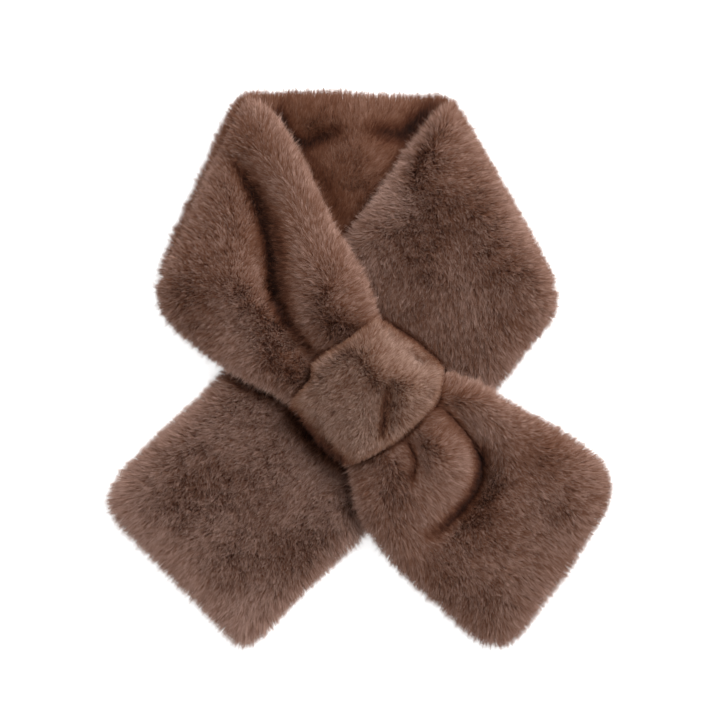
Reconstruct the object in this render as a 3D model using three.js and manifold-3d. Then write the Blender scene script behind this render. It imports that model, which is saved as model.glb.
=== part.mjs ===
// A faux-fur collar wrap laid flat on a table: one long strip with fur on both faces, folded at both
// shoulders, crossed at the front and pulled through a loop that is sewn to its own face.
// Millimetres, +Z up. The origin is the middle of the underside, and +Y points to the back of the neck.
import * as THREE from "three";
import { mergeVertices } from "three/addons/utils/BufferGeometryUtils.js";
import Module from "manifold-3d";

const wasm = await Module();
wasm.setup();

const SEAM_GAP = 0.3; // clearance between two pieces that lie on each other
const UNDER_RADIUS = 8; // how far in the lower edge of a piece is rounded
const UNDER_DIVE = 9; // how far in the hidden underside drops from its support to the table
const RIM_STEPS = [0, 1.6, 5.5, 11.5, 19]; // grid lines near a rim, measured in from it
const RIM_DEPTH = RIM_STEPS[RIM_STEPS.length - 1];
const MERGE_WITHIN = 1e-4; // points closer than this are one
const CORNER_BLEND = 26; // over this distance from an end, the rim goes from the end's height to a free edge's
const LEAST_TURN = 0.3; // a sharp edge moves out by no more than the clearance over this

// How high up its thickness the rim of a piece lies: half way on a free edge, at the top or the bottom
// where two layers meet in a fold.
const RIM_AT = { free: 0.45, foldBelow: 1, foldAbove: 0.02, sewn: 0.12 };

// Every strip is walked from its first section to its last. leftX, leftY and rightX, rightY are the
// section's ends in plan, on the walker's left and right, and thick is its height above what it lies on.
const backNeck = {
  topRadius: 24,
  start: { rim: RIM_AT.foldBelow, leftCorner: 12, rightCorner: 34 },
  end: { rim: RIM_AT.foldBelow, leftCorner: 12, rightCorner: 32 },
  columns: 13,
  lines: 22,
  sections: [
    { leftX: -91, leftY: 212, rightX: -162, rightY: 50, thick: 18 },
    { leftX: -58, leftY: 211, rightX: -104, rightY: 58, thick: 20 },
    { leftX: -18, leftY: 208, rightX: -32, rightY: 58, thick: 21 },
    { leftX: 24, leftY: 206, rightX: 42, rightY: 58, thick: 20 },
    { leftX: 68, leftY: 208, rightX: 160, rightY: 46, thick: 18 },
  ],
};

const crossedBand = {
  topRadius: 17,
  start: { rim: RIM_AT.foldAbove, leftCorner: 30, rightCorner: 9 },
  end: { rim: RIM_AT.free, leftCorner: 13, rightCorner: 26 },
  columns: 9,
  lines: 28,
  sections: [
    { leftX: 161, leftY: 44, rightX: 69, rightY: 210, thick: 22 },
    { leftX: 135, leftY: 24, rightX: 43, rightY: 176, thick: 24 },
    { leftX: 110, leftY: -7, rightX: 12, rightY: 130, thick: 24 },
    { leftX: 84, leftY: -38, rightX: -16, rightY: 94, thick: 22 },
    { leftX: 54, leftY: -72, rightX: -52, rightY: 56, thick: 20 },
    { leftX: 24, leftY: -105, rightX: -84, rightY: 20, thick: 20 },
    { leftX: -8, leftY: -137, rightX: -116, rightY: -15, thick: 22 },
    { leftX: -47, leftY: -176, rightX: -158, rightY: -55, thick: 23 },
    { leftX: -86, leftY: -215, rightX: -200, rightY: -99, thick: 22 },
  ],
};

const pulledBand = {
  topRadius: 17,
  start: { rim: RIM_AT.foldAbove, leftCorner: 12, rightCorner: 32 },
  end: { rim: RIM_AT.free, leftCorner: 40, rightCorner: 24 },
  columns: 18,
  lines: 66,
  sections: [
    { leftX: -88, leftY: 212, rightX: -167, rightY: 47, thick: 22 },
    { leftX: -63, leftY: 195, rightX: -134, rightY: 23, thick: 23 },
    { leftX: -42, leftY: 160, rightX: -109, rightY: 3, thick: 23 },
    { leftX: -24, leftY: 123, rightX: -88, rightY: -9, thick: 22 },
    { leftX: -8, leftY: 92, rightX: -70, rightY: -17, thick: 21 },
    { leftX: 7, leftY: 64, rightX: -55, rightY: -26, thick: 21 },
    { leftX: 20, leftY: 30, rightX: -38, rightY: -38, thick: 22 },
    { leftX: 40, leftY: 8, rightX: -20, rightY: -56, thick: 24 },
    { leftX: 66, leftY: -2, rightX: -7, rightY: -80, thick: 26 },
    { leftX: 96, leftY: -13, rightX: -2, rightY: -106, thick: 27 },
    { leftX: 124, leftY: -29, rightX: 14, rightY: -135, thick: 25 },
    { leftX: 156, leftY: -48, rightX: 47, rightY: -170, thick: 23 },
    { leftX: 206, leftY: -83, rightX: 107, rightY: -220, thick: 22 },
  ],
};

const loopStrap = {
  topRadius: 14,
  start: { rim: RIM_AT.sewn, leftCorner: 9, rightCorner: 9 },
  end: { rim: RIM_AT.free, leftCorner: 12, rightCorner: 9 },
  columns: 7,
  lines: 9,
  sections: [
    { leftX: 66, leftY: 1, rightX: 13, rightY: 42, thick: 14 },
    { leftX: 60, leftY: -23, rightX: -4, rightY: 29, thick: 18 },
    { leftX: 42, leftY: -42, rightX: -20, rightY: 17, thick: 19 },
    { leftX: 23, leftY: -59, rightX: -37, rightY: 3, thick: 19 },
    { leftX: 6, leftY: -71, rightX: -46, rightY: -14, thick: 18 },
    { leftX: -11, leftY: -77, rightX: -57, rightY: -25, thick: 17 },
  ],
};

const FOLD_STOPS = 40; // places along a fold at which its distance is measured
const FOLD_END = 0.04; // share of its length after which a fold has begun
const FOLD_FADE = 0.6; // how soon it is at its full depth: 1 is half way along, 0 is at once

// A fold is a trough along a curve from one point, near two more, to a last one. depth and halfWidth are
// the trough's, and rise and reach those of the roll of cloth that stands on the left of the curve.
const neckFolds = [
  { fromX: -64, fromY: 197, nearX: -47, nearY: 175, farX: -30, farY: 171, toX: -2, toY: 186,
    halfWidth: 11, depth: 9, rise: 0, reach: 1 },
  { fromX: 54, fromY: 201, nearX: 45, nearY: 182, farX: 33, farY: 175, toX: 12, toY: 184,
    halfWidth: 10, depth: 8, rise: 0, reach: 1 },
];
const pulledFolds = [
  { fromX: -99, fromY: 162, nearX: -73, nearY: 118, farX: -61, farY: 54, toX: -33, toY: 6,
    halfWidth: 10, depth: 16, rise: 9, reach: 26 },
  { fromX: 52, fromY: -20, nearX: 82, nearY: -49, farX: 90, farY: -88, toX: 52, toY: -131,
    halfWidth: 9, depth: 14, rise: 0, reach: 1 },
  { fromX: 52, fromY: -131, nearX: 90, nearY: -88, farX: 82, farY: -49, toX: 52, toY: -20,
    halfWidth: 1, depth: 0, rise: 10, reach: 18 },
  { fromX: 31, fromY: -46, nearX: 39, nearY: -59, farX: 42, farY: -71, toX: 38, toY: -87,
    halfWidth: 8, depth: 7, rise: 0, reach: 1 },
];
const strapFolds = [
  { fromX: 22, fromY: -17, nearX: 20, nearY: -27, farX: 18, farY: -37, toX: 16, toY: -50,
    halfWidth: 9, depth: 4, rise: 0, reach: 1 },
];

// Where a strip is parted into two named stretches, hidden below what crosses it: a point on the cut and
// the strip's heading there in degrees.
const crossedJoin = { x: 4, y: -18, heading: 228 };
const pulledJoin = { x: 4, y: -18, heading: -45 };

const FUR = { color: 0x6b4a3e, roughness: 0.95, metalness: 0 };
const LOOP_FUR = { color: 0x6f4e42, roughness: 0.95, metalness: 0 };

// The height of the layers below, on a square grid over the table, and the smooth surface on which the
// next layer settles.
const MAP_CELL = 4;
const MAP_REACH = 240;
const MAP_SIDE = (2 * MAP_REACH) / MAP_CELL + 1;

class HeightMap {
  constructor() {
    this.heights = new Float32Array(MAP_SIDE * MAP_SIDE);
  }

  // Raises the map to the top of a solid, one triangle at a time.
  cover(geometry) {
    const corners = geometry.toNonIndexed().getAttribute("position");
    const triangle = new THREE.Triangle();
    const weights = new THREE.Vector3();
    for (let first = 0; first < corners.count; first += 3) {
      triangle.setFromAttributeAndIndices(corners, first, first + 1, first + 2);
      this.coverTriangle(triangle, weights);
    }
  }

  coverTriangle({ a, b, c }, weights) {
    const flat = [a, b, c].map((corner) => new THREE.Vector3(corner.x, corner.y, 0));
    const box = new THREE.Box3().setFromPoints(flat);
    const cell = new THREE.Vector3();
    for (let row = mapIndex(box.min.y, Math.ceil); row <= mapIndex(box.max.y, Math.floor); row++) {
      for (let column = mapIndex(box.min.x, Math.ceil); column <= mapIndex(box.max.x, Math.floor); column++) {
        cell.set(column * MAP_CELL - MAP_REACH, row * MAP_CELL - MAP_REACH, 0);
        if (!THREE.Triangle.getBarycoord(cell, ...flat, weights)) continue;
        if (Math.min(weights.x, weights.y, weights.z) < 0) continue;
        const height = a.z * weights.x + b.z * weights.y + c.z * weights.z;
        const index = row * MAP_SIDE + column;
        this.heights[index] = Math.max(this.heights[index], height);
      }
    }
  }

  // The surface of a soft strip that lies on this map: it bridges the steps, then presses them round.
  settled(bridging, pressing) {
    const result = new HeightMap();
    result.heights = this.heights.slice();
    for (let pass = 0; pass < bridging + pressing; pass++) {
      const before = result.heights.slice();
      for (let index = MAP_SIDE; index < before.length - MAP_SIDE; index++) {
        const around = before[index - 1] + before[index + 1] + before[index - MAP_SIDE] + before[index + MAP_SIDE];
        const least = pass < bridging ? this.heights[index] : 0;
        result.heights[index] = Math.max(least, around / 4);
      }
    }
    return result;
  }

  at(x, y) {
    const column = (x + MAP_REACH) / MAP_CELL;
    const row = (y + MAP_REACH) / MAP_CELL;
    const index = Math.floor(row) * MAP_SIDE + Math.floor(column);
    const shareX = column - Math.floor(column);
    const lower = THREE.MathUtils.lerp(this.heights[index], this.heights[index + 1], shareX);
    const above = index + MAP_SIDE;
    const upper = THREE.MathUtils.lerp(this.heights[above], this.heights[above + 1], shareX);
    return THREE.MathUtils.lerp(lower, upper, row - Math.floor(row));
  }
}

function mapIndex(position, round) {
  return round((position + MAP_REACH) / MAP_CELL);
}

// Rises from 0 at a rim to 1 at the given radius, as a quarter circle does.
function roundedRise(distance, radius) {
  const inward = Math.min(distance / radius, 1);
  return Math.sqrt(1 - (1 - inward) ** 2);
}

// How much a corner of the given radius narrows a section at this distance from the strip's end.
function cornerCut(distance, radius) {
  return radius * (1 - roundedRise(distance, radius));
}

// Grid lines over a length, close together at both rims and evenly spaced between them.
function gridLines(length, between) {
  const gap = (length - 2 * RIM_DEPTH) / between;
  const middle = Array.from({ length: between - 1 }, (_, index) => RIM_DEPTH + gap * (index + 1));
  return [...RIM_STEPS, ...middle, ...RIM_STEPS.map((step) => length - step).reverse()];
}

// The strip's edges, thickness and true length, as smooth curves through its sections.
function curvesOf(strip) {
  const curve = (read) => new THREE.CatmullRomCurve3(strip.sections.map(read), false, "catmullrom", 0.5);
  const middle = curve((s) => new THREE.Vector3((s.leftX + s.rightX) / 2, (s.leftY + s.rightY) / 2, 0));
  return {
    left: curve((s) => new THREE.Vector3(s.leftX, s.leftY, 0)),
    right: curve((s) => new THREE.Vector3(s.rightX, s.rightY, 0)),
    thick: curve((s) => new THREE.Vector3(s.thick, 0, 0)),
    middle,
    length: middle.getLength(),
  };
}

// The route of a fold as points close together, with the direction at each.
function routeOf(fold) {
  const curve = new THREE.SplineCurve([
    new THREE.Vector2(fold.fromX, fold.fromY),
    new THREE.Vector2(fold.nearX, fold.nearY),
    new THREE.Vector2(fold.farX, fold.farY),
    new THREE.Vector2(fold.toX, fold.toY),
  ]);
  const shares = Array.from({ length: FOLD_STOPS + 1 }, (_, index) => index / FOLD_STOPS);
  return shares.map((share) => ({ share, point: curve.getPoint(share), heading: curve.getTangent(share) }));
}

// What the folds add to the height at one place: a trough on the line and a roll on its left.
function foldHeight(folds, x, y) {
  let height = 0;
  for (const { fold, route } of folds) {
    const here = new THREE.Vector2(x, y);
    const nearest = route.reduce((best, stop) =>
      stop.point.distanceToSquared(here) < best.point.distanceToSquared(here) ? stop : best,
    );
    const away = here.clone().sub(nearest.point);
    const distance = away.length();
    const leftward = nearest.heading.x * away.y - nearest.heading.y * away.x;
    const within = THREE.MathUtils.clamp(nearest.share, FOLD_END, 1 - FOLD_END);
    const fade = Math.sin(Math.PI * within) ** FOLD_FADE;
    height -= fold.depth * fade * Math.exp(-((distance / fold.halfWidth) ** 2));
    if (leftward > 0) {
      const share = distance / fold.reach;
      height += fold.rise * fade * share * Math.exp(1 - share);
    }
  }
  return height;
}

// One strip as a closed form: its top follows what it lies on, its edges are rounded, and its hidden
// underside goes down to the table until the layers below are cut away.
function stripGeometry(strip, folds, support) {
  const { left, right, thick, middle, length } = curvesOf(strip);
  const routes = folds.map((fold) => ({ fold, route: routeOf(fold) }));
  const top = [];
  const bottom = [];
  for (const along of gridLines(length, strip.lines)) {
    const share = middle.getUtoTmapping(along / length);
    const toEnd = length - along;
    const end = along < toEnd ? strip.start : strip.end;
    const fromEnd = Math.min(along, toEnd);
    const leftEdge = left.getPoint(share);
    const rightEdge = right.getPoint(share);
    const across = rightEdge.clone().sub(leftEdge);
    const width = across.length();
    across.normalize();
    const rimAt = THREE.MathUtils.lerp(end.rim, RIM_AT.free, THREE.MathUtils.smoothstep(fromEnd, 0, CORNER_BLEND));
    const leftCut = cornerCut(fromEnd, end.leftCorner);
    const narrowed = width - leftCut - cornerCut(fromEnd, end.rightCorner);
    const height = thick.getPoint(share).x;
    const topRow = [];
    const bottomRow = [];
    for (const side of gridLines(narrowed, strip.columns)) {
      const place = leftEdge.clone().addScaledVector(across, leftCut + side);
      const fromSide = Math.min(side, narrowed - side);
      const fromRim = Math.min(fromSide, fromEnd);
      const base = support.at(place.x, place.y);
      const rise = roundedRise(fromRim, strip.topRadius);
      const puff = height + foldHeight(routes, place.x, place.y);
      const rimHeight = base + rimAt * height;
      topRow.push(place.clone().setZ(rimHeight + (base + puff - rimHeight) * rise));
      const drop = roundedRise(fromRim, UNDER_RADIUS);
      const dive = THREE.MathUtils.smoothstep(fromRim, UNDER_RADIUS, UNDER_RADIUS + UNDER_DIVE);
      bottomRow.push(place.clone().setZ((rimHeight + (base - rimHeight) * drop) * (1 - dive)));
    }
    top.push(topRow);
    bottom.push(bottomRow);
  }
  return closedGrid(top, bottom);
}

// Joins an upper and a lower grid that share their rim into one closed surface. The lower one keeps its
// rounded rim, and what lies within it is flat on the table.
function closedGrid(top, bottom) {
  const rows = top.length;
  const columns = top[0].length;
  const first = RIM_STEPS.length - 1;
  const lastRow = rows - 1 - first;
  const lastColumn = columns - 1 - first;
  const points = [...top.flat(), ...bottom.flat()];
  const index = [];
  const vertexAt = (layer, row, column) => (layer * rows + row) * columns + column;
  for (let row = 0; row < rows - 1; row++) {
    for (let column = 0; column < columns - 1; column++) {
      const corners = (layer) => [
        vertexAt(layer, row, column),
        vertexAt(layer, row + 1, column),
        vertexAt(layer, row + 1, column + 1),
        vertexAt(layer, row, column + 1),
      ];
      const [a, b, c, d] = corners(0);
      const levelAlongAc = Math.abs(points[a].z - points[c].z) < Math.abs(points[b].z - points[d].z);
      index.push(...(levelAlongAc ? [a, c, b, a, d, c] : [a, d, b, b, d, c]));
      const inside = row >= first && row < lastRow && column >= first && column < lastColumn;
      if (inside) continue;
      const [e, f, g, h] = corners(1);
      index.push(e, f, g, e, g, h);
    }
  }
  const ring = [];
  for (let row = first; row < lastRow; row++) ring.push(vertexAt(1, row, first));
  for (let column = first; column < lastColumn; column++) ring.push(vertexAt(1, lastRow, column));
  for (let row = lastRow; row > first; row--) ring.push(vertexAt(1, row, lastColumn));
  for (let column = lastColumn; column > first; column--) ring.push(vertexAt(1, first, column));
  const contour = ring.map((vertex) => new THREE.Vector2(points[vertex].x, points[vertex].y));
  for (const face of THREE.ShapeUtils.triangulateShape(contour, [])) {
    const [a, b, c] = face.map((corner) => ring[corner]);
    const turn = contour[face[1]].clone().sub(contour[face[0]]).cross(contour[face[2]].clone().sub(contour[face[0]]));
    index.push(...(turn < 0 ? [a, b, c] : [a, c, b]));
  }
  const geometry = new THREE.BufferGeometry().setFromPoints(points);
  geometry.setIndex(index);
  return mergeVertices(geometry, MERGE_WITHIN);
}

// The same form with each of its faces moved out by at least the clearance, as the cutter for what lies
// on it.
function grown(geometry) {
  const result = geometry.clone();
  result.computeVertexNormals();
  const points = result.getAttribute("position");
  const normals = result.getAttribute("normal");
  const leastTurn = new Float32Array(points.count).fill(1);
  const triangle = new THREE.Triangle();
  const facing = new THREE.Vector3();
  const normal = new THREE.Vector3();
  for (let first = 0; first < result.index.count; first += 3) {
    const corners = [0, 1, 2].map((step) => result.index.getX(first + step));
    triangle.setFromAttributeAndIndices(points, ...corners);
    triangle.getNormal(facing);
    for (const corner of corners) {
      normal.fromBufferAttribute(normals, corner);
      leastTurn[corner] = Math.min(leastTurn[corner], normal.dot(facing));
    }
  }
  const place = new THREE.Vector3();
  for (let index = 0; index < points.count; index++) {
    normal.fromBufferAttribute(normals, index);
    place.fromBufferAttribute(points, index);
    place.addScaledVector(normal, SEAM_GAP / Math.max(leastTurn[index], LEAST_TURN));
    points.setXYZ(index, place.x, place.y, place.z);
  }
  result.deleteAttribute("normal");
  return result;
}

function toSolid(geometry) {
  return new wasm.Manifold(
    new wasm.Mesh({
      numProp: 3,
      vertProperties: new Float32Array(geometry.getAttribute("position").array),
      triVerts: new Uint32Array(geometry.index.array),
    }),
  );
}

function toGeometry(solid) {
  const mesh = solid.getMesh();
  const geometry = new THREE.BufferGeometry();
  geometry.setAttribute("position", new THREE.BufferAttribute(mesh.vertProperties, 3));
  geometry.setIndex(new THREE.BufferAttribute(mesh.triVerts, 1));
  return geometry;
}

// A block that covers one side of a join, half a seam gap away from it.
function sideOfJoin(join, direction) {
  const size = 4 * MAP_REACH;
  const box = new THREE.BoxGeometry(size, size, size);
  box.deleteAttribute("normal");
  box.deleteAttribute("uv");
  const block = mergeVertices(box);
  block.translate((direction * (size + SEAM_GAP)) / 2, 0, 0);
  block.rotateZ(THREE.MathUtils.degToRad(join.heading));
  block.translate(join.x, join.y, 0);
  return toSolid(block);
}

// A cut can leave crumbs beside the piece, and only its largest body is kept.
function largestBody(solid) {
  return solid.decompose().reduce((most, body) => (body.volume() > most.volume() ? body : most));
}

function pieceMesh(name, solid, finish) {
  const geometry = toGeometry(largestBody(solid));
  geometry.computeVertexNormals();
  const mesh = new THREE.Mesh(geometry, new THREE.MeshStandardMaterial(finish));
  mesh.name = name;
  return mesh;
}

const BRIDGING = 110;
const PRESSING = 26;
const STRAP_BRIDGING = 10;

const table = new HeightMap();
const neckForm = stripGeometry(backNeck, neckFolds, table);
const neckCutter = toSolid(grown(neckForm));

const onNeck = new HeightMap();
onNeck.cover(neckForm);
const crossedForm = stripGeometry(crossedBand, [], onNeck.settled(BRIDGING, PRESSING));
const crossedCutter = toSolid(grown(crossedForm));
const crossedSolid = toSolid(crossedForm).subtract(neckCutter);

const onCrossed = new HeightMap();
onCrossed.cover(neckForm);
onCrossed.cover(crossedForm);
const pulledForm = stripGeometry(pulledBand, pulledFolds, onCrossed.settled(BRIDGING, PRESSING));
const pulledCutter = toSolid(grown(pulledForm));
const pulledSolid = toSolid(pulledForm).subtract(neckCutter).subtract(crossedCutter);

const onPulled = new HeightMap();
onPulled.cover(crossedForm);
onPulled.cover(pulledForm);
const strapForm = stripGeometry(loopStrap, strapFolds, onPulled.settled(STRAP_BRIDGING, 0));
const strapSolid = toSolid(strapForm).subtract(crossedCutter).subtract(pulledCutter);

const wrap = new THREE.Group();
wrap.add(pieceMesh("back_neck", toSolid(neckForm), FUR));
wrap.add(pieceMesh("right_front", crossedSolid.intersect(sideOfJoin(crossedJoin, -1)), FUR));
wrap.add(pieceMesh("left_tail", crossedSolid.intersect(sideOfJoin(crossedJoin, 1)), FUR));
wrap.add(pieceMesh("left_front", pulledSolid.intersect(sideOfJoin(pulledJoin, -1)), FUR));
wrap.add(pieceMesh("right_tail", pulledSolid.intersect(sideOfJoin(pulledJoin, 1)), FUR));
wrap.add(pieceMesh("loop_strap", strapSolid, LOOP_FUR));

const centre = new THREE.Box3().setFromObject(wrap).getCenter(new THREE.Vector3());
wrap.position.set(-centre.x, -centre.y, 0);

export default wrap;
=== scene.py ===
"""The looks of a faux-fur collar wrap that lies flat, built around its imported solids.

Metres, +Z up, +Y towards the back of the neck. Each solid gets a skin, which is the cloth below the
pile, and a coat of fur made of fine tapered hairs.
"""

import math

import bpy
import numpy as np
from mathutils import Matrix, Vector, kdtree
from mathutils.bvhtree import BVHTree


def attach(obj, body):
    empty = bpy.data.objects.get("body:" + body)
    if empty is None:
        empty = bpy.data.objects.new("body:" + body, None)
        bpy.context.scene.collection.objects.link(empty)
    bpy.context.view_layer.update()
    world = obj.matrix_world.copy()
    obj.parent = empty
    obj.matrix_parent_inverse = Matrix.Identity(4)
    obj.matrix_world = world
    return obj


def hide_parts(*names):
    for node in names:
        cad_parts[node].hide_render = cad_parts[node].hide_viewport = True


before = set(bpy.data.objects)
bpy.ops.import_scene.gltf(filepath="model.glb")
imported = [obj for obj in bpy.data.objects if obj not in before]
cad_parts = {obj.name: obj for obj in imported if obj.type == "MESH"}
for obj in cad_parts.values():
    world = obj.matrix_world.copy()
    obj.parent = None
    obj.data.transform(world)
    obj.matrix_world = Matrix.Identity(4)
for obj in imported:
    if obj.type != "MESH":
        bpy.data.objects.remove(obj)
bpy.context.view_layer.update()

MM = 0.001
SEED = 4253

# The skin below the pile.
VOXEL = 2.9 * MM
SKIN_SMOOTHING = 10
PILE_DEPTH = 7.5 * MM  # from the tips' envelope in to the skin
UNDER_DEPTH = 2.0 * MM  # the same where the wrap rests on the table
UNDER_FROM_TO = 0.35, 0.8  # how far down a face points where it counts as underside
LEAST_CLOTH = 3.5 * MM  # left under the deepest crease
PRESSED_FROM_TO = 0.0, 0.4  # how far up a face points where a crease presses it
LEAST_PRESS = 0.3 * MM  # deeper creases than this are held off the cloth's other face
RAY_START = 0.5 * MM  # below the face, where the measure of the cloth's thickness starts

# How many hairs there are.
HAIRS_PER_MM2 = 7
SIDE_FROM_TO = 0.1, 0.6  # how far up a face points between a steep flank and the top
SIDE_SHARE = 0.6  # of that density on a steep flank
UNDER_SHARE = 0.1  # of that density where the wrap rests on the table
COVERED_WITHIN = 5 * MM  # no hair grows where another piece is as close above as this
GAP_WITHIN = 18 * MM  # between two layers, where another piece is as close above as this
GAP_SHARE = 0.2  # of the density, there
MOST_TRIANGLES = 168000
CURVED_SHARE = 0.05  # of the hairs, with a bend and three triangles; the rest are straight
GUARD_SHARE = 0.09  # of the hairs, which stand out of the coat in wisps

# The form of a hair. A length with no unit is a share of the common one.
HAIR_LENGTH = 9.8 * MM
LENGTH_RANGE = 0.66, 1.08
MOTTLE_LENGTH = 0.03  # how much it changes in small spots
UNDER_LENGTH = 0.55  # where the wrap rests on the table
GUARD_LENGTH = 1.4
GUARD_RANGE = 0.75, 1  # of that length
HAIR_WIDTH = 0.33 * MM
WIDTH_RANGE = 0.75, 1.25  # of that width
MIDDLE_WIDTH = 0.8  # of a curved hair's own width, half way up it
GUARD_WIDTH = 0.8  # of the other hairs' width
BEND = 0.12  # how far a curved hair is off the straight line half way up, as a share of its length
BEND_OUT = 0.15  # how much of that is away from the skin
TUFT_SHARE = 0.26  # tufts for each hair
TUFT_PULL = 0.1, 0.6  # how far a tuft draws its tips together, from 0 to 1
WISP_SHARE = 0.25  # wisps for each of the hairs that stand out
WISP_PULL = 0.4, 0.9

# How a hair leans, beside the way that it is brushed, as a share of its length.
SWIRL_LEAN = 0.07  # in wide swirls
RUFFLE_LEAN = 0.05  # in small ruffles
RANDOM_LEAN = 0.15  # from hair to hair
UNDER_LEAN = 1.2  # how much more it leans where the wrap rests on the table
FACE_UP = 0.8  # how much the flat of a hair turns up, beside the way that the skin faces
FACE_RANDOM = 0.35  # and at random

# Where another piece is in a hair's way.
FAR_OFF = 30 * MM
NEAR_LENGTHS = 1.3  # hairs this many lengths from another piece are looked at
ROOT_GAP = 0.3 * MM
STOP_SHORT = 0.92  # of the way to the other piece
LEAST_FREE = 2.5 * MM  # a hair with less room than this is left out
TABLE_CLEARANCE = 0.3 * MM

# How light a hair is: its tone picks its colours and its light is where it is between dark and tip, which
# also carries painted shade.
PATCH_TONE = 0.08  # how much the tone changes in wide patches
MOTTLE_TONE = 0.05  # in small spots
TUFT_TONE = 0.34  # from tuft to tuft
HAIR_TONE = 0.2  # from hair to hair
RIM_PAINTED_LIGHT = 0.2  # painted light at the rims: how much lighter the hair is there
RIM_FROM_TO = 0.4, 0.95  # how far up the pile points between a rim and the top
TONE_LEAST, TONE_MOST = 0.03, 0.97
TONE_WIDTH = 0.003  # half of what one hair takes of the range of tones
CONTACT_PAINTED_SHADE = 0.75  # painted shade where two pieces touch: how much of their light tips the hairs lose there
CONTACT_SHADE_WIDTH = 6 * MM
ROOT_LIGHT = 0.38  # of the light at its tip; the darker root is partly the fur's own colour and partly painted shade deep in the pile
PAINTED_SHADE_POWERS = 0.35, 2.2  # how unevenly the tufts take the painted shade of a fold
RECESSED_FROM_TO = 0.15, 0.5  # how far up the hair points where a coat's light counts, as painted shade on the pile that faces up
SHADE_OUT, SHADE_UP, SHADE_FACE = 0.45, 0.25, 0.3  # what a hair's shading normal is made of


def smoothstep(values, low, high):
    share = np.clip((values - low) / (high - low), 0, 1)
    return share * share * (3 - 2 * share)


def unit(vectors):
    return vectors / np.maximum(np.linalg.norm(vectors, axis=1, keepdims=True), 1e-9)


class Ripple:
    """A smooth random field over space with one main wavelength, about 0 on average and 1 in spread."""

    WAVES = 16
    SPREAD = 0.7, 1.5  # of the wavelength

    def __init__(self, wavelength, seed):
        rng = np.random.default_rng(seed)
        directions = unit(rng.normal(size=(self.WAVES, 3)))
        lengths = wavelength * rng.uniform(*self.SPREAD, (self.WAVES, 1))
        self.waves = 2 * math.pi * directions / lengths
        self.phases = rng.uniform(0, 2 * math.pi, self.WAVES)

    def at(self, points):
        return np.cos(points @ self.waves.T + self.phases).sum(axis=1) * math.sqrt(2 / self.WAVES)


def points_of(mesh):
    flat = np.empty(len(mesh.vertices) * 3, np.float32)
    mesh.vertices.foreach_get("co", flat)
    return flat.reshape(-1, 3).astype(float)


def normals_of(mesh):
    flat = np.empty(len(mesh.vertices) * 3, np.float32)
    mesh.vertex_normals.foreach_get("vector", flat)
    return flat.reshape(-1, 3).astype(float)


def set_points(mesh, points):
    mesh.vertices.foreach_set("co", points.astype(np.float32).ravel())
    mesh.update()


def new_piece(name, mesh):
    piece = bpy.data.objects.new(name, mesh)
    bpy.context.scene.collection.objects.link(piece)
    return piece


def remeshed(piece, smoothing):
    """Gives the piece an even closed mesh of its own form, with the facets smoothed away."""
    remesh = piece.modifiers.new("even", "REMESH")
    remesh.mode = "VOXEL"
    remesh.voxel_size = VOXEL
    smooth = piece.modifiers.new("soft", "SMOOTH")
    smooth.factor = 0.5
    smooth.iterations = smoothing
    graph = bpy.context.evaluated_depsgraph_get()
    mesh = bpy.data.meshes.new_from_object(piece.evaluated_get(graph))
    old = piece.data
    piece.modifiers.clear()
    piece.data = mesh
    bpy.data.meshes.remove(old)


def skin_of(node):
    """The cloth below the pile of one solid."""
    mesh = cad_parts[node].data.copy()
    mesh.materials.clear()
    piece = new_piece(node + "_skin", mesh)
    remeshed(piece, SKIN_SMOOTHING)
    points = points_of(piece.data)
    normals = normals_of(piece.data)
    under = smoothstep(-normals[:, 2], *UNDER_FROM_TO)
    depth = PILE_DEPTH + (UNDER_DEPTH - PILE_DEPTH) * under
    points = points - normals * depth[:, None]
    points[:, 2] = np.maximum(points[:, 2], UNDER_DEPTH / 2)
    set_points(piece.data, points)
    set_points(piece.data, pressed(node, piece, points, normals))
    remeshed(piece, SKIN_SMOOTHING // 2)
    piece.data.polygons.foreach_set("use_smooth", [True] * len(piece.data.polygons))
    return piece
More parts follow.
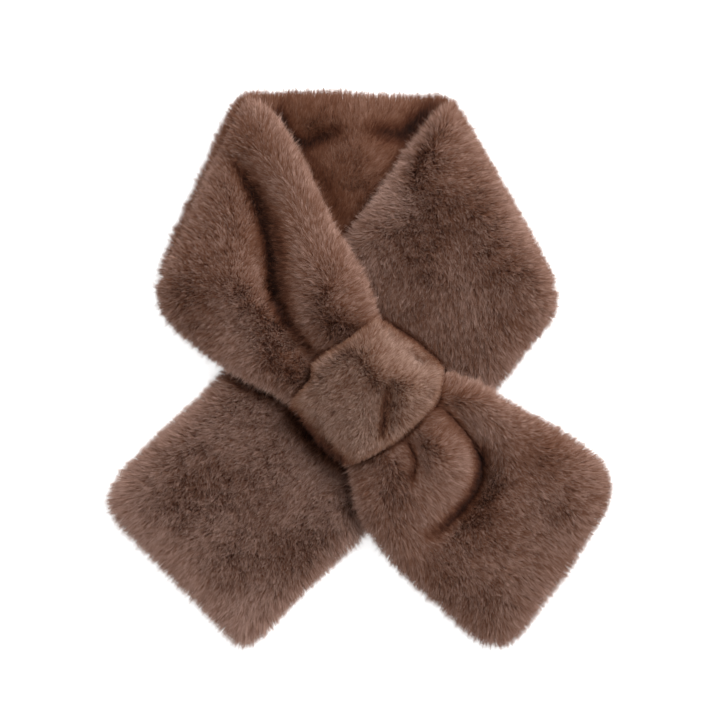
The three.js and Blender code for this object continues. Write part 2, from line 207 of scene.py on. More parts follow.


# Where the cloth folds or two stretches meet, or one piece shades another. The routes are in mm. depth and
# width are the trough's in the cloth. The next two columns are painted shade in the creases and below the
# edges: how much of its light tips the pile loses there, and over what width. part keeps the hairs of both
# sides from crossing the line, by about this much, and 0 lets them cross.
FOLDS = [
    {
        "name": "front valley",
        "nodes": ["left_front"],
        "route": [(-95, 153), (-79, 124), (-70, 92), (-66, 60), (-58, 38), (-34, 7)],
        "depth": 5,
        "width": 7,
        "painted_shade": 0.94,
        "painted_shade_width": 4.5,
        "part": 0,
    },
    {
        "name": "roll flank",
        "nodes": ["left_front"],
        "route": [(-84, 145), (-69, 115), (-61, 88), (-59.5, 60), (-53, 38)],
        "depth": 0,
        "width": 8,
        "painted_shade": 0.72,
        "painted_shade_width": 6,
        "part": 0,
    },
    {
        "name": "lobe edge",
        "nodes": ["right_tail"],
        "route": [(57, -26), (80, -51), (91.5, -74), (87, -95), (66, -119)],
        "depth": 6,
        "width": 6,
        "painted_shade": 0.7,
        "painted_shade_width": 3.5,
        "part": 0.5,
    },
    {
        "name": "lobe crease",
        "nodes": ["right_tail"],
        "route": [(31, -49), (38.6, -62), (40.9, -72), (38, -85)],
        "depth": 4,
        "width": 5,
        "painted_shade": 0.65,
        "painted_shade_width": 3,
        "part": 0.4,
    },
    {
        "name": "neck left",
        "nodes": ["back_neck"],
        "route": [(-60, 197), (-56, 179), (-42, 170), (-18, 179)],
        "depth": 3,
        "width": 8,
        "painted_shade": 0.95,
        "painted_shade_width": 6,
        "part": 0,
    },
    {
        "name": "neck right",
        "nodes": ["back_neck"],
        "route": [(54, 198), (44, 188), (32, 177), (11, 180)],
        "depth": 4,
        "width": 8,
        "painted_shade": 0.95,
        "painted_shade_width": 8,
        "part": 0,
    },
    {
        "name": "neck under left front",
        "nodes": ["back_neck"],
        "route": [(-66, 194), (-45, 166), (-23, 133), (-6, 98)],
        "depth": 0,
        "width": 8,
        "painted_shade": 0.45,
        "painted_shade_width": 7,
        "part": 0,
    },
    {
        "name": "neck under right front",
        "nodes": ["back_neck"],
        "route": [(58, 200), (34, 163), (11, 129), (-8, 100)],
        "depth": 0,
        "width": 8,
        "painted_shade": 0.4,
        "painted_shade_width": 6,
        "part": 0,
    },
    {
        "name": "strap crease",
        "nodes": ["loop_strap"],
        "route": [(21, -16), (18, -32), (16, -52)],
        "depth": 4,
        "width": 6,
        "painted_shade": 0.75,
        "painted_shade_width": 3.5,
        "part": 0,
    },
    {
        "name": "strap upper left",
        "nodes": ["loop_strap", "left_front"],
        "route": [(13, 40), (-10.6, 21), (-35, 6), (-38, -9), (-52, -24)],
        "depth": 2,
        "width": 5,
        "painted_shade": 0.5,
        "painted_shade_width": 2,
        "part": 0.1,
    },
    {
        "name": "strap upper right",
        "nodes": ["loop_strap", "right_front"],
        "route": [(14, 38), (34, 25.5), (50, 13), (64, 0)],
        "depth": 2,
        "width": 5,
        "painted_shade": 0.8,
        "painted_shade_width": 2.2,
        "part": 0.45,
    },
    {
        "name": "strap lower right",
        "nodes": ["loop_strap", "right_tail"],
        "route": [(63, -1), (58, -25), (43, -42), (30.7, -53.6), (11, -65), (-8, -74)],
        "depth": 2,
        "width": 5,
        "painted_shade": 0.35,
        "painted_shade_width": 2.2,
        "part": 0.35,
    },
    {
        "name": "below the strap",
        "nodes": ["loop_strap", "right_front", "left_tail"],
        "route": [(-55, -30), (-41, -50), (-21, -69), (-6, -78)],
        "depth": 0,
        "width": 5,
        "painted_shade": 0.98,
        "painted_shade_width": 6.5,
        "part": 0,
    },
    {
        "name": "below the left front",
        "nodes": ["left_tail"],
        "route": [(-114, 5), (-87, -12), (-68, -20), (-50, -26)],
        "depth": 0,
        "width": 5,
        "painted_shade": 0.97,
        "painted_shade_width": 6,
        "part": 0,
    },
    {
        "name": "beside the lobe",
        "nodes": ["right_tail"],
        "route": [(92, -64), (91.5, -76), (87, -93), (74, -111), (53, -128)],
        "depth": 0,
        "width": 5,
        "painted_shade": 0.98,
        "painted_shade_width": 5,
        "part": 0,
    },
]
FOLD_STOPS = 70
FOLD_FADE = 0.2  # how soon a fold has its full depth: 1 is half way along, 0 is at once
FOLD_ENDS = 0.02, 0.98  # what share of the way along is taken for a fold's two ends
PLACES_AT_ONCE = 20000
PART_SPREAD = -1.4, 3.0  # in mm, how far from the line the hairs' ends stop
PART_REACH = 16 * MM
PART_FROM_TO = 0.4, 0.75  # of a fold's full depth


def along_route(route):
    """Points close together on a smooth curve through the route, in metres, and the heading at each."""
    given = np.array(route, float) * MM
    given = np.concatenate([2 * given[:1] - given[1:2], given, 2 * given[-1:] - given[-2:-1]])
    spans = len(route) - 1
    at = np.linspace(0, spans - 1e-6, FOLD_STOPS)
    first = at.astype(int)
    t = (at - first)[:, None]
    a, b, c, d = (given[first + step] for step in range(4))
    points = 0.5 * (2 * b + (c - a) * t + (2 * a - 5 * b + 4 * c - d) * t**2 + (3 * b - a - 3 * c + d) * t**3)
    return points, unit(np.gradient(points, axis=0))


class Fold:
    """One fold, as how far away each place is from it, on which side and how far along."""

    def __init__(self, row):
        self.row = row
        self.points, headings = along_route(row["route"])
        self.left = np.stack([-headings[:, 1], headings[:, 0]], axis=1)

    def measure(self, places):
        flat = places[:, :2]
        stop = np.empty(len(flat), int)
        for start in range(0, len(flat), PLACES_AT_ONCE):
            part = flat[start : start + PLACES_AT_ONCE]
            away = ((part[:, None] - self.points[None]) ** 2).sum(axis=2)
            stop[start : start + PLACES_AT_ONCE] = away.argmin(axis=1)
        offset = flat - self.points[stop]
        share = stop / (FOLD_STOPS - 1)
        strength = np.sin(math.pi * np.clip(share, *FOLD_ENDS)) ** FOLD_FADE
        return stop, np.linalg.norm(offset, axis=1), strength

    def side_of(self, places, stop):
        return ((places[:, :2] - self.points[stop]) * self.left[stop]).sum(axis=1)


FOLD_LINES = [Fold(row) for row in FOLDS]


def folds_of(node):
    return [fold for fold in FOLD_LINES if node in fold.row["nodes"]]


def pressed(node, piece, points, normals):
    """The skin's points with the troughs of its folds, which leave the cloth whole."""
    drop = np.zeros(len(points))
    for fold in folds_of(node):
        _, distance, strength = fold.measure(points)
        width = fold.row["width"] * MM
        drop += fold.row["depth"] * MM * strength * np.exp(-((distance / width) ** 2))
    drop *= smoothstep(normals[:, 2], *PRESSED_FROM_TO)
    own = tree_of([piece])
    for index in np.flatnonzero(drop > LEAST_PRESS):
        start = Vector(points[index]) - Vector((0, 0, RAY_START))
        below = own.ray_cast(start, Vector((0, 0, -1)))
        thick = below[3] if below[0] is not None else 0.0
        drop[index] = min(drop[index], max(0.0, thick - LEAST_CLOTH))
    points[:, 2] -= drop
    return points


def painted_shade_of(node, points):
    """How much painted shade the hairs take at these places, in the folds and below the edges: the share of
    their light tips that they lose.
    """
    kept = np.ones(len(points))
    for fold in folds_of(node):
        _, distance, strength = fold.measure(points)
        width = fold.row["painted_shade_width"] * MM
        kept *= 1 - fold.row["painted_shade"] * strength * np.exp(-((distance / width) ** 2))
    return 1 - kept


def parted(node, roots, tips, rng):
    """The hairs' tips, with most of those moved back that would cross a fold."""
    ease = rng.uniform(*PART_SPREAD, len(roots)) * MM
    for fold in folds_of(node):
        gap = fold.row["part"] * MM
        if not gap:
            continue
        stop, distance, strength = fold.measure(roots)
        from_side = fold.side_of(roots, stop)
        to_side = fold.side_of(tips, stop)
        own = np.sign(from_side)
        least = gap + ease
        near = (distance < PART_REACH) & (strength > PART_FROM_TO[0]) & (to_side * own < least)
        step = own * least - to_side
        share = smoothstep(strength, *PART_FROM_TO)
        tips[:, :2] += fold.left[stop] * (step * near * share)[:, None]
    return tips


def triangles_of(mesh):
    mesh.calc_loop_triangles()
    flat = np.empty(len(mesh.loop_triangles) * 3, np.int32)
    mesh.loop_triangles.foreach_get("vertices", flat)
    return flat.reshape(-1, 3)


def tree_of(pieces):
    """One search tree over the skins of several pieces."""
    points, faces, start = [], [], 0
    for piece in pieces:
        own = points_of(piece.data)
        points.append(own)
        faces.append(triangles_of(piece.data) + start)
        start += len(own)
    return BVHTree.FromPolygons(np.concatenate(points).tolist(), np.concatenate(faces).tolist())


# How the pile of each piece lies where nothing else is said. length is against the common one. leanX and
# leanY are the way that it is brushed, in shares of its length. tone is how light its hair is, from 0 to 1.
# light is how much of that shows on top, and below 1 it paints shade on the pile that faces up, as inside the
# back of the neck. passes is how far the turn of the pile at a rim is spread.
COATS = {
    "back_neck": {"length": 1.2, "leanX": 0.1, "leanY": 0.25, "tone": 0.2, "light": 0.7, "passes": 22},
    "right_front": {"length": 1.06, "leanX": 0.0, "leanY": -0.3, "tone": 0.24, "light": 1, "passes": 20},
    "left_tail": {"length": 1.08, "leanX": -0.25, "leanY": -0.25, "tone": 0.56, "light": 1, "passes": 20},
    "left_front": {"length": 0.95, "leanX": -0.08, "leanY": 0.12, "tone": 0.28, "light": 1, "passes": 16},
    "right_tail": {"length": 1.08, "leanX": 0.3, "leanY": -0.15, "tone": 0.26, "light": 1, "passes": 20},
    "loop_strap": {"length": 0.9, "leanX": 0.0, "leanY": -0.1, "tone": 0.4, "light": 1, "passes": 8},
}

# Where the pile is brushed another way, or is lighter or darker: x, y and reach are in mm. tone is partly the
# fur's
# own patches and partly painted light: small painted highlights on tufts, and painted shade that tones down
# the lit roll and strap.
COMB_COLUMNS = ("node", "x", "y", "reach", "leanX", "leanY", "tone")
COMB = [
    ("left_front", -112, 95, 26, -0.25, 0.35, -0.1),
    ("left_front", -84, 80, 16, 0.0, 0.4, -0.14),
    ("left_front", -77, 96, 12, 0.1, 0.3, -0.2),
    ("left_front", -94, 75, 4, 0.2, 0.3, 0.25),
    ("left_front", -92, 28, 22, -0.38, -0.28, 0.22),
    ("left_front", -64, 31, 12, 0.0, -0.5, 0.0),
    ("left_front", -74, 189, 18, -0.1, 0.45, 0.0),
    ("left_front", -60, 155, 20, -0.2, 0.65, -0.12),
    ("left_front", -56, 107, 12, -0.5, 0.15, -0.1),
    ("left_front", -51, 58, 12, -0.5, 0.0, -0.1),
    ("left_front", -35, 120, 18, -0.22, 0.65, -0.2),
    ("left_front", -22, 85, 16, -0.15, 0.55, -0.16),
    ("left_front", -36, 62, 10, -0.45, 0.35, 0.0),
    ("left_front", -14, 50, 14, 0.25, 0.55, 0.0),
    ("left_front", -26, 44, 9, -0.15, 0.8, -0.04),
    ("left_front", -36, 5, 6, -0.45, -0.25, 0.1),
    ("left_front", -75, 52, 10, -0.2, 0.1, -0.1),
    ("right_front", 82, 28, 35, -0.05, -0.36, 0.0),
    ("right_front", 30, 125, 16, -0.3, 0.05, 0.34),
    ("right_front", 7, 80, 16, -0.2, -0.3, 0.22),
    ("right_front", 103, 79, 14, 0.0, 0.0, -0.12),
    ("right_front", 46, 68, 7, 0.0, -0.1, -0.14),
    ("right_front", 46, 45, 7, 0.0, -0.1, -0.14),
    ("right_front", 80, 165, 20, 0.15, -0.2, 0.1),
    ("right_front", 54, 148, 15, 0.1, -0.4, 0.04),
    ("right_front", 118, 15, 16, 0.2, -0.3, 0.14),
    ("left_tail", -83, -32, 22, -0.28, -0.15, 0.03),
    ("left_tail", -74, -49, 5, -0.3, -0.3, 0.15),
    ("left_tail", -128, -88, 20, -0.1, -0.1, -0.36),
    ("left_tail", -98, -158, 16, 0.05, -0.2, -0.28),
    ("left_tail", -52, -138, 14, 0.05, -0.2, -0.24),
    ("left_tail", -140, -45, 22, -0.3, 0.1, 0.1),
    ("right_tail", 105, -70, 22, 0.35, -0.15, 0.0),
    ("right_tail", 139, -96, 6, 0.35, -0.12, 0.15),
    ("right_tail", 142, -69, 16, 0.05, -0.3, -0.2),
    ("right_tail", 100, -55, 14, 0.2, -0.2, -0.08),
    ("right_tail", 148, -112, 10, 0.1, -0.1, -0.2),
    ("right_tail", 96, -165, 14, 0.1, -0.3, -0.1),
    ("right_tail", 146, -155, 30, 0.3, -0.2, 0.0),
    ("right_tail", 66, -52, 12, 0.05, 0.3, 0.0),
    ("right_tail", 49, -85, 12, 0.3, -0.12, 0.0),
    ("right_tail", 19, -92, 14, -0.3, -0.1, 0.0),
    ("right_tail", 75, -126, 14, 0.1, -0.35, 0.0),
    ("right_tail", 71, -13, 12, 0.03, 0.3, 0.0),
    ("loop_strap", 9, 24, 14, 0.1, 0.5, -0.12),
    ("loop_strap", 22, 3, 10, 0.4, 0.35, -0.02),
    ("loop_strap", 35, -27, 10, 0.5, -0.3, 0.05),
    ("loop_strap", 10, -30, 10, -0.1, -0.55, 0.0),
    ("loop_strap", 49, -2, 12, 0.45, -0.15, -0.06),
    ("loop_strap", 9, -55, 14, -0.15, -0.4, 0.0),
    ("loop_strap", -41, -21, 10, -0.35, -0.12, 0.08),
    ("loop_strap", -9, -13, 12, -0.35, -0.35, -0.12),
    ("back_neck", 19, 151, 18, 0.3, 0.3, 0.0),
    ("back_neck", -15, 140, 18, 0.05, 0.25, 0.0),
    ("back_neck", -15, 202, 18, 0.05, 0.35, -0.08),
    ("back_neck", 45, 200, 20, 0.0, 0.35, -0.05),
]
COMB_ROWS = [dict(zip(COMB_COLUMNS, row)) for row in COMB]
COAT_WEIGHT = 0.25  # how much the coat's own lean counts beside a row of the comb

# Where the pile is longer or shorter than the rest of its coat, as a share of its length.
TRIM_COLUMNS = ("node", "x", "y", "reach", "longer")
TRIM = [
    ("left_front", -150, 90, 50, -0.5),
    ("left_front", -95, 8, 30, -0.12),
    ("left_front", -100, 185, 36, -0.5),
    ("left_tail", -185, -95, 40, 0.2),
    ("left_tail", -140, -160, 35, 0.12),
    ("left_tail", -85, -205, 30, 0.3),
    ("left_tail", -20, -125, 25, 0.25),
    ("right_tail", 150, -160, 40, 0.4),
    ("right_tail", 50, -190, 25, -0.15),
    ("right_tail", 105, -205, 30, 0.25),
    ("right_tail", 120, -35, 35, -0.1),
    ("back_neck", -68, 205, 22, -0.4),
    ("back_neck", -15, 208, 22, 0.15),
    ("back_neck", 20, 208, 20, 0.12),
    ("right_front", 115, 130, 30, 0.14),
    ("right_front", 120, -8, 30, 0.2),
    ("right_front", 148, 50, 22, -0.16),
    ("right_front", 90, 195, 20, 0.15),
]
TRIM_ROWS = [dict(zip(TRIM_COLUMNS, row)) for row in TRIM]


def combed(node, roots):
    """The way that the hairs at these places are brushed, and how light they are."""
    coat = COATS[node]
    weight = np.full(len(roots), COAT_WEIGHT)
    lean = np.outer(weight, [coat["leanX"], coat["leanY"], 0.0])
    tone = np.full(len(roots), coat["tone"])
    for row in COMB_ROWS:
        if row["node"] != node:
            continue
        away = np.hypot(roots[:, 0] - row["x"] * MM, roots[:, 1] - row["y"] * MM)
        near = np.exp(-((away / (row["reach"] * MM)) ** 2))
        weight += near
        lean += np.outer(near, [row["leanX"], row["leanY"], 0.0])
        tone += row["tone"] * near
    return lean / weight[:, None], tone


def trimmed(node, roots):
    """How long the hairs are at these places, against the common length."""
    length = np.full(len(roots), COATS[node]["length"])
    for row in TRIM_ROWS:
        if row["node"] == node:
            away = np.hypot(roots[:, 0] - row["x"] * MM, roots[:, 1] - row["y"] * MM)
            length *= 1 + row["longer"] * np.exp(-((away / (row["reach"] * MM)) ** 2))
    return length


SWIRL = Ripple(60 * MM, SEED + 1), Ripple(60 * MM, SEED + 2)
RUFFLE = Ripple(14 * MM, SEED + 3), Ripple(14 * MM, SEED + 4)
PATCHES = Ripple(55 * MM, SEED + 5)
MOTTLE = Ripple(7 * MM, SEED + 6)


def density(points, normals, faces, above):
    """How many hairs each face of the skin gets, as a share of its area."""
    corners = points[faces]
    areas = np.linalg.norm(np.cross(corners[:, 1] - corners[:, 0], corners[:, 2] - corners[:, 0]), axis=1) / 2
    upward = normals[faces].mean(axis=1)[:, 2]
    under = smoothstep(-upward, *UNDER_FROM_TO)
    share = SIDE_SHARE + (1 - SIDE_SHARE) * smoothstep(upward, *SIDE_FROM_TO)
    share += (UNDER_SHARE - share) * under
    nearest = above[faces].max(axis=1)
    share = np.where(nearest < GAP_WITHIN, share * GAP_SHARE, share)
    return np.where(nearest < COVERED_WITHIN, 0, areas * share)


def hair_count(weights):
    """How many hairs a piece gets: as dense as all the rest, unless that is too many triangles."""
    wanted = weights.sum() / MM**2 * HAIRS_PER_MM2
    most = MOST_TRIANGLES / (1 + 2 * CURVED_SHARE)
    return int(min(wanted, most))


def around(points, normals, others):
    """How far another piece is from each point of a skin, straight off it and at the nearest."""
    above = np.full(len(points), FAR_OFF)
    away = np.full(len(points), FAR_OFF)
    for index, (point, normal) in enumerate(zip(points.tolist(), normals.tolist())):
        hit = others.ray_cast(point, normal, FAR_OFF)
        if hit[0] is not None:
            above[index] = hit[3]
        nearest = others.find_nearest(point, FAR_OFF)
        if nearest[0] is not None:
            away[index] = nearest[3]
    return above, away


def evened(normals, faces, passes):
    """The skin's normals, each averaged with its neighbours', so that the pile turns slowly at a rim."""
    ends = np.concatenate([faces[:, [0, 1]], faces[:, [1, 2]], faces[:, [2, 0]]])
    for _ in range(passes):
        total = normals.copy()
        for axis in range(3):
            total[:, axis] += np.bincount(ends[:, 0], normals[ends[:, 1], axis], len(normals))
        normals = unit(total)
    return normals


def tufted(roots, tips, share, pull_range, rng):
    """Draws the tips together into tufts, each by a pull of its own, and says which tuft has which."""
    centres = rng.choice(len(roots), max(1, int(len(roots) * share)), replace=False)
    tree = kdtree.KDTree(len(centres))
    for index, centre in enumerate(centres):
        tree.insert(roots[centre], index)
    tree.balance()
    nearest = np.array([tree.find(root)[1] for root in roots.tolist()])
    centre = centres[nearest]
    pull = rng.uniform(*pull_range, len(centres))[nearest]
    return tips + (tips[centre] - tips) * pull[:, None], nearest


def scattered(node, skin, others, rng):
    """The hairs' roots on a skin, the way out of the pile there, and how far off other pieces are."""
    points = points_of(skin.data)
    normals = normals_of(skin.data)
    faces = triangles_of(skin.data)
    above, away = around(points, normals, others)
    weights = density(points, normals, faces, above)
    normals = evened(normals, faces, COATS[node]["passes"])
    count = hair_count(weights)
    chosen = rng.choice(len(faces), count, p=weights / weights.sum())
    a, b = rng.random(count), rng.random(count)
    flip = a + b > 1
    a[flip], b[flip] = 1 - a[flip], 1 - b[flip]
    share = np.stack([1 - a - b, a, b], axis=1)[:, :, None]
    corners = faces[chosen]
    roots = (points[corners] * share).sum(axis=1)
    out = unit((normals[corners] * share).sum(axis=1))
    away = (away[corners] * share[:, :, 0]).sum(axis=1)
    return roots, out, away


def ruffled(lean, roots, out, rng):
    """The way that the hairs are brushed, made uneven and kept along the skin."""
    for axis in range(2):
        lean[:, axis] += SWIRL_LEAN * SWIRL[axis].at(roots) + RUFFLE_LEAN * RUFFLE[axis].at(roots)
    lean += RANDOM_LEAN * rng.normal(size=lean.shape)
    return lean - out * (lean * out).sum(axis=1, keepdims=True)


def laid(node, roots, out, lean, rng):
    """The hairs' tips, which tuft each is in, and which of them stand out of the coat."""
    count = len(roots)
    under = smoothstep(-out[:, 2], *UNDER_FROM_TO)
    way = unit(out + lean + UNDER_LEAN * lean * under[:, None])
    length = rng.uniform(*LENGTH_RANGE, count) * (1 + MOTTLE_LENGTH * MOTTLE.at(roots))
    guard = rng.random(count) < GUARD_SHARE
    length = np.where(guard, GUARD_LENGTH * rng.uniform(*GUARD_RANGE, count), length)
    trim = trimmed(node, roots)
    trim = np.where(guard, np.maximum(trim, COATS[node]["length"]), trim)
    length *= HAIR_LENGTH * trim
    length = np.where(under > 0.5, length * UNDER_LENGTH, length)
    tips = roots + way * length[:, None]
    wisps, wisp = tufted(roots[guard], tips[guard], WISP_SHARE, WISP_PULL, rng)
    tips, tuft = tufted(roots, tips, TUFT_SHARE, TUFT_PULL, rng)
    tips[guard] = wisps
    tuft[guard] = tuft.max() + 1 + wisp
    return parted(node, roots, tips, rng), tuft, guard


def with_room(roots, tips, out, away, others):
    """The hairs' ways and lengths, cut short where another piece is met, and which of them have room."""
    way = unit(tips - roots)
    length = np.linalg.norm(tips - roots, axis=1)
    start = roots + out * ROOT_GAP
    free = np.ones(len(roots), bool)
    for index in np.flatnonzero(away < HAIR_LENGTH * NEAR_LENGTHS):
        hit = others.ray_cast(start[index].tolist(), way[index].tolist(), length[index])
        if hit[0] is not None:
            length[index] = STOP_SHORT * hit[3]
            free[index] = hit[3] > LEAST_FREE
    return way, length, free


def toned(tone, roots, out, tuft, rng):
    """How light each hair is, uneven from patch to patch, from tuft to tuft and from hair to hair, and
    lighter at the rims as painted light.
    """
    tuft_tone = rng.normal(size=tuft.max() + 1)[tuft]
    tone += PATCH_TONE * PATCHES.at(roots) + MOTTLE_TONE * MOTTLE.at(roots)
    # painted light: the hair is lighter at the rims
    tone += RIM_PAINTED_LIGHT * (1 - smoothstep(out[:, 2], *RIM_FROM_TO))
    tone += TUFT_TONE * tuft_tone + HAIR_TONE * rng.normal(size=len(roots))
    return np.clip(tone, TONE_LEAST, TONE_MOST)


def lights_of(node, roots, tips, out, away, tuft, rng):
    """Where the hairs' roots and tips are between dark and light, with painted shade in the folds, below
    edges, where pieces touch and on the pile that faces up.
    """
    contact_shade = CONTACT_PAINTED_SHADE * np.exp(-((away / CONTACT_SHADE_WIDTH) ** 2))
    power = rng.uniform(*PAINTED_SHADE_POWERS, tuft.max() + 1)[tuft]
    recessed = smoothstep(out[:, 2], *RECESSED_FROM_TO)
    painted_lit = (1 - (1 - COATS[node]["light"]) * recessed) * (1 - contact_shade)
    root_light = ROOT_LIGHT * painted_lit * (1 - painted_shade_of(node, roots)) ** power
    tip_light = painted_lit * (1 - painted_shade_of(node, tips)) ** power
    return root_light, tip_light


def grow(node, skin, others):
    """The coat of one piece: a mesh of fine tapered hairs that stand on its skin."""
    rng = np.random.default_rng(SEED + len(node) * 7 + sum(map(ord, node)))
    roots, out, away = scattered(node, skin, others, rng)
    lean, tone = combed(node, roots)
    lean = ruffled(lean, roots, out, rng)
    tips, tuft, guard = laid(node, roots, out, lean, rng)
    way, length, free = with_room(roots, tips, out, away, others)
    tips = roots + way * length[:, None]
    tone = toned(tone, roots, out, tuft, rng)
    root_light, tip_light = lights_of(node, roots, tips, out, away, tuft, rng)

    up = np.array([0, 0, 1.0])
    aim = out + FACE_UP * up + FACE_RANDOM * rng.normal(size=out.shape)
    side = unit(np.cross(way, aim))
    face = np.cross(side, way)
    width = HAIR_WIDTH * rng.uniform(*WIDTH_RANGE, len(roots)) * np.where(guard, GUARD_WIDTH, 1)
    curved = rng.random(len(roots)) < CURVED_SHARE
    hairs = {
        "roots": roots,
        "tips": tips,
        "side": side * width[:, None] / 2,
        "bend": (lean - out * BEND_OUT) * (BEND * length)[:, None],
        "tone": tone,
        "root_light": root_light,
        "tip_light": tip_light,
        "shade": unit(SHADE_OUT * out + SHADE_UP * up + SHADE_FACE * face),
    }
    keep_curved = {key: value[free & curved] for key, value in hairs.items()}
    keep_straight = {key: value[free & ~curved] for key, value in hairs.items()}
    return hair_mesh(node + "_fur", keep_curved, keep_straight)


def hair_mesh(name, curved, straight):
    """Joins the hairs into one mesh. Their UV map gives each its tone across and, along it, how light it is
    from root to tip, painted shade included.
    """
    places, shades, maps, faces = [], [], [], []

    def add(rows, corner_rows, hairs):
        start = sum(len(block) for block in places)
        amount, corners = len(hairs["tone"]), len(rows)
        block = np.stack([place for place, _, _ in rows], axis=1).reshape(-1, 3)
        uv = np.stack([np.stack([across, along], axis=1) for _, across, along in rows], axis=1)
        places.append(block)
        maps.append(uv.reshape(-1, 2))
        shades.append(np.repeat(hairs["shade"], corners, axis=0))
        base = start + corners * np.arange(amount)[:, None, None]
        faces.append((base + np.array(corner_rows)[None]).reshape(-1, 3))

    tone, side, root, tip = (curved[key] for key in ("tone", "side", "roots", "tips"))
    low, high = curved["root_light"], curved["tip_light"]
    middle = (root + tip) / 2 - curved["bend"]
    add(
        [
            (root - side, tone - TONE_WIDTH, low),
            (root + side, tone + TONE_WIDTH, low),
            (middle - MIDDLE_WIDTH * side, tone - TONE_WIDTH, (low + high) / 2),
            (middle + MIDDLE_WIDTH * side, tone + TONE_WIDTH, (low + high) / 2),
            (tip, tone, high),
        ],
        [(0, 1, 3), (0, 3, 2), (2, 3, 4)],
        curved,
    )
    tone, side, root, tip = (straight[key] for key in ("tone", "side", "roots", "tips"))
    low, high = straight["root_light"], straight["tip_light"]
    add(
        [
            (root - side, tone - TONE_WIDTH, low),
            (root + side, tone + TONE_WIDTH, low),
            (tip, tone, high),
        ],
        [(0, 1, 2)],
        straight,
    )
    points, normals, uv, triangles = (np.concatenate(part) for part in (places, shades, maps, faces))
    points[:, 2] = np.maximum(points[:, 2], TABLE_CLEARANCE)
    mesh = bpy.data.meshes.new(name)
    mesh.vertices.add(len(points))
    mesh.vertices.foreach_set("co", points.astype(np.float32).ravel())
    mesh.loops.add(triangles.size)
    mesh.loops.foreach_set("vertex_index", triangles.astype(np.int32).ravel())
    mesh.polygons.add(len(triangles))
    mesh.polygons.foreach_set("loop_start", np.arange(0, triangles.size, 3, dtype=np.int32))
    mesh.polygons.foreach_set("use_smooth", np.ones(len(triangles), bool))
    layer = mesh.uv_layers.new(name="OFBake")
    layer.data.foreach_set("uv", uv[triangles.ravel()].astype(np.float32).ravel())
    mesh.update()
    stored = mesh.attributes.new("custom_normal", "FLOAT_VECTOR", "POINT")
    stored.data.foreach_set("vector", normals.astype(np.float32).ravel())
    mesh.update()
    return new_piece(name, mesh)


def srgb(red, green, blue):
    """A colour as a shader wants it, from its values of 0 to 255 on a screen."""
    scaled = [value / 255 for value in (red, green, blue)]
    return [v / 12.92 if v <= 0.04045 else ((v + 0.055) / 1.055) ** 2.4 for v in scaled] + [1.0]


def ramp(tree, stops, fac):
    node = tree.nodes.new("ShaderNodeValToRGB")
    elements = node.color_ramp.elements
    while len(elements) > 1:
        elements.remove(elements[-1])
    elements[0].position, elements[0].color = stops[0]
    for position, colour in stops[1:]:
        elements.new(position).color = colour
    tree.links.new(fac, node.inputs["Fac"])
    return node.outputs["Color"]


def mixed(tree, share, first, second):
    node = tree.nodes.new("ShaderNodeMix")
    node.data_type = "RGBA"
    tree.links.new(share, node.inputs["Factor"])
    tree.links.new(first, node.inputs["A"])
    tree.links.new(second, node.inputs["B"])
    return node.outputs["Result"]


SHEEN_ROUGHNESS = 0.5
SHEEN_TINT = 214, 178, 160
GRAIN_SCALE = 420  # of the underfur
GRAIN_DETAIL = 3
GRAIN_BUMP = 0.5
GRAIN_HEIGHT = 0.6 * MM


def shader(name, roughness, specular, sheen):
    material = bpy.data.materials.new(name)
    material.use_nodes = True
    surface = material.node_tree.nodes["Principled BSDF"]
    surface.inputs["Roughness"].default_value = roughness
    surface.inputs["Specular IOR Level"].default_value = specular
    surface.inputs["Sheen Weight"].default_value = sheen
    surface.inputs["Sheen Roughness"].default_value = SHEEN_ROUGHNESS
    surface.inputs["Sheen Tint"].default_value = srgb(*SHEEN_TINT)
    return material, material.node_tree, surface


def fur_material(name, warmth):
    """Hair that is dark at the root and light at the tip, in a shade of its own for each hair. The near-black
    low end along its map is also painted shade, for the folds, the shadows below edges and where pieces
    touch.
    """
    material, tree, surface = shader(name, roughness=0.6, specular=0.08, sheen=0.02)
    place = tree.nodes.new("ShaderNodeUVMap")
    place.uv_map = "OFBake"
    parts = tree.nodes.new("ShaderNodeSeparateXYZ")
    tree.links.new(place.outputs["UV"], parts.inputs["Vector"])
    tone, along = parts.outputs["X"], parts.outputs["Y"]
    # along runs from root to tip; its near-black low end is the painted shade
    dark = ramp(
        tree,
        [
            (0.0, srgb(26, 14, 11)),
            (0.2, srgb(72, 37, 22)),
            (0.5, srgb(99, 59, 40)),
            (1.0, srgb(111, 74, 56)),
        ],
        along,
    )
    light = ramp(
        tree,
        [
            (0.0, srgb(36, 21, 18)),
            (0.2, srgb(94, 54, 37)),
            (0.5, srgb(141, 101 + warmth, 82)),
            (1.0, srgb(191, 159 + warmth, 146)),
        ],
        along,
    )
    tree.links.new(mixed(tree, tone, dark, light), surface.inputs["Base Color"])
    return material


def skin_material():
    """The dense dark underfur that shows between the hairs."""
    material, tree, surface = shader("underfur", roughness=0.9, specular=0.15, sheen=0.1)
    place = tree.nodes.new("ShaderNodeTexCoord")
    noise = tree.nodes.new("ShaderNodeTexNoise")
    noise.inputs["Scale"].default_value = GRAIN_SCALE
    noise.inputs["Detail"].default_value = GRAIN_DETAIL
    tree.links.new(place.outputs["Object"], noise.inputs["Vector"])
    colour = ramp(tree, [(0.3, srgb(62, 31, 19)), (0.7, srgb(88, 50, 34))], noise.outputs["Fac"])
    tree.links.new(colour, surface.inputs["Base Color"])
    bump = tree.nodes.new("ShaderNodeBump")
    bump.inputs["Strength"].default_value = GRAIN_BUMP
    bump.inputs["Distance"].default_value = GRAIN_HEIGHT
    tree.links.new(noise.outputs["Fac"], bump.inputs["Height"])
    tree.links.new(bump.outputs["Normal"], surface.inputs["Normal"])
    return material


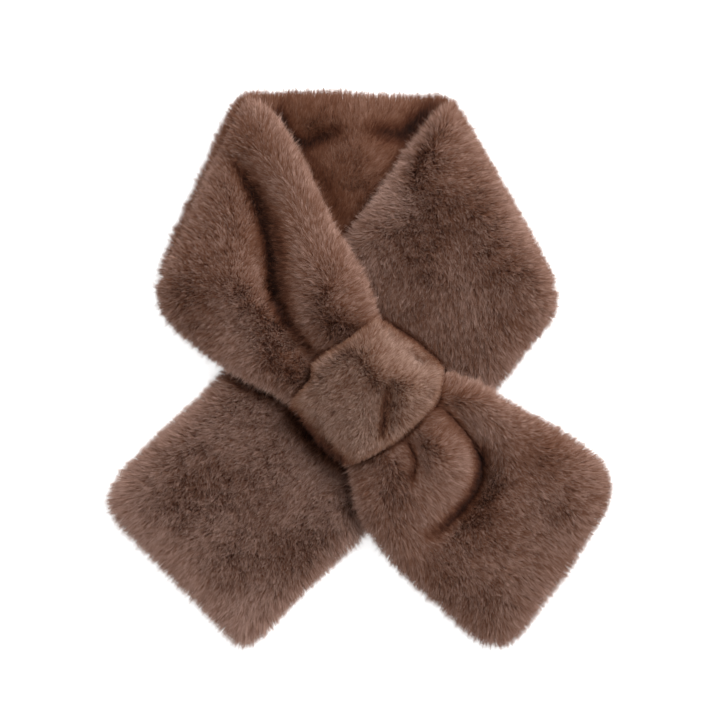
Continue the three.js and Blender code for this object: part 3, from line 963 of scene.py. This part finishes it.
# What each piece is cut from, as the flat strip with both its faces, and what it lies on.
SHEETS = {
    "back_neck": {"width": 0.150, "length": 0.235, "rests_on": []},
    "right_front": {"width": 0.150, "length": 0.235, "rests_on": ["back_neck_skin"]},
    "left_tail": {"width": 0.150, "length": 0.190, "rests_on": []},
    "left_front": {"width": 0.150, "length": 0.235, "rests_on": ["back_neck_skin", "right_front_skin"]},
    "right_tail": {"width": 0.150, "length": 0.215, "rests_on": ["right_front_skin", "left_tail_skin"]},
    "loop_strap": {"width": 0.080, "length": 0.120, "rests_on": ["left_front_skin", "right_tail_skin"]},
}


def build_wrap():
    skins = {node: skin_of(node) for node in SHEETS}
    underfur = skin_material()
    finish = {"fur": fur_material("fur", 0), "loop_fur": fur_material("loop_fur", 2)}
    for node, skin in skins.items():
        others = tree_of([other for name, other in skins.items() if name != node])
        fur = grow(node, skin, others)
        slot = "loop_fur" if node == "loop_strap" else "fur"
        skin.data.materials.append(underfur)
        fur.data.materials.append(finish[slot])
        for piece in (skin, fur):
            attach(piece, "root")
            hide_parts(node)


# The camera looks straight down, and its view is as wide as the photograph's.
PHOTO_SIZE = 720
PHOTO_SCALE = 0.75 * MM  # metres a pixel
VIEW_HEIGHT = 30 * MM  # the height at which that scale holds
ORIGIN_PX_X, ORIGIN_PX_Y = 360.5, 367.2  # where the origin is in the photograph
CAMERA_DISTANCE = 1.9
FILM_WIDTH = 36
FARTHEST_SEEN = 20.0


def build_camera():
    lens = bpy.data.cameras.new("camera")
    lens.sensor_width = FILM_WIDTH
    lens.lens = FILM_WIDTH * CAMERA_DISTANCE / (PHOTO_SIZE * PHOTO_SCALE)
    lens.clip_end = FARTHEST_SEEN
    camera = bpy.data.objects.new("camera", lens)
    middle = PHOTO_SIZE / 2
    camera.location = (
        (middle - ORIGIN_PX_X) * PHOTO_SCALE,
        (ORIGIN_PX_Y - middle) * PHOTO_SCALE,
        VIEW_HEIGHT + CAMERA_DISTANCE,
    )
    bpy.context.scene.collection.objects.link(camera)
    bpy.context.scene.camera = camera


FLOOR_REACH = 6.0
FLOOR_DROP = 0.4 * MM
FLOOR_GREY = 0.9
FLOOR_ROUGHNESS = 0.95
FLOOR_SPECULAR = 0.05
FLOOR_GLOW = 0.6
WHITE = (1, 1, 1, 1)


def build_floor():
    mesh = bpy.data.meshes.new("floor")
    corners = [(x * FLOOR_REACH, y * FLOOR_REACH, 0) for x, y in ((-1, -1), (1, -1), (1, 1), (-1, 1))]
    mesh.from_pydata(corners, [], [(0, 1, 2, 3)])
    material = bpy.data.materials.new("floor")
    material.use_nodes = True
    surface = material.node_tree.nodes["Principled BSDF"]
    surface.inputs["Base Color"].default_value = (FLOOR_GREY, FLOOR_GREY, FLOOR_GREY, 1)
    surface.inputs["Roughness"].default_value = FLOOR_ROUGHNESS
    surface.inputs["Specular IOR Level"].default_value = FLOOR_SPECULAR
    surface.inputs["Emission Color"].default_value = WHITE
    surface.inputs["Emission Strength"].default_value = FLOOR_GLOW
    mesh.materials.append(material)
    floor = new_piece("floor", mesh)
    floor.location.z = -FLOOR_DROP


SKY_LIGHT = 0.82
KEY_PLACE = (1.1, 1.2, 2.2)
KEY_SIZE = 1.3
KEY_POWER = 70


def build_lights():
    world = bpy.data.worlds.new("studio")
    world.use_nodes = True
    background = world.node_tree.nodes["Background"]
    background.inputs["Color"].default_value = WHITE
    background.inputs["Strength"].default_value = SKY_LIGHT
    bpy.context.scene.world = world
    light = bpy.data.lights.new("key", "AREA")
    light.shape = "DISK"
    light.size = KEY_SIZE
    light.energy = KEY_POWER
    lamp = bpy.data.objects.new("key", light)
    lamp.location = KEY_PLACE
    lamp.rotation_euler = (-Vector(KEY_PLACE)).to_track_quat("-Z", "Y").to_euler()
    bpy.context.scene.collection.objects.link(lamp)
    bpy.context.scene.view_settings.view_transform = "Standard"


build_camera()
build_floor()
build_lights()
build_wrap()
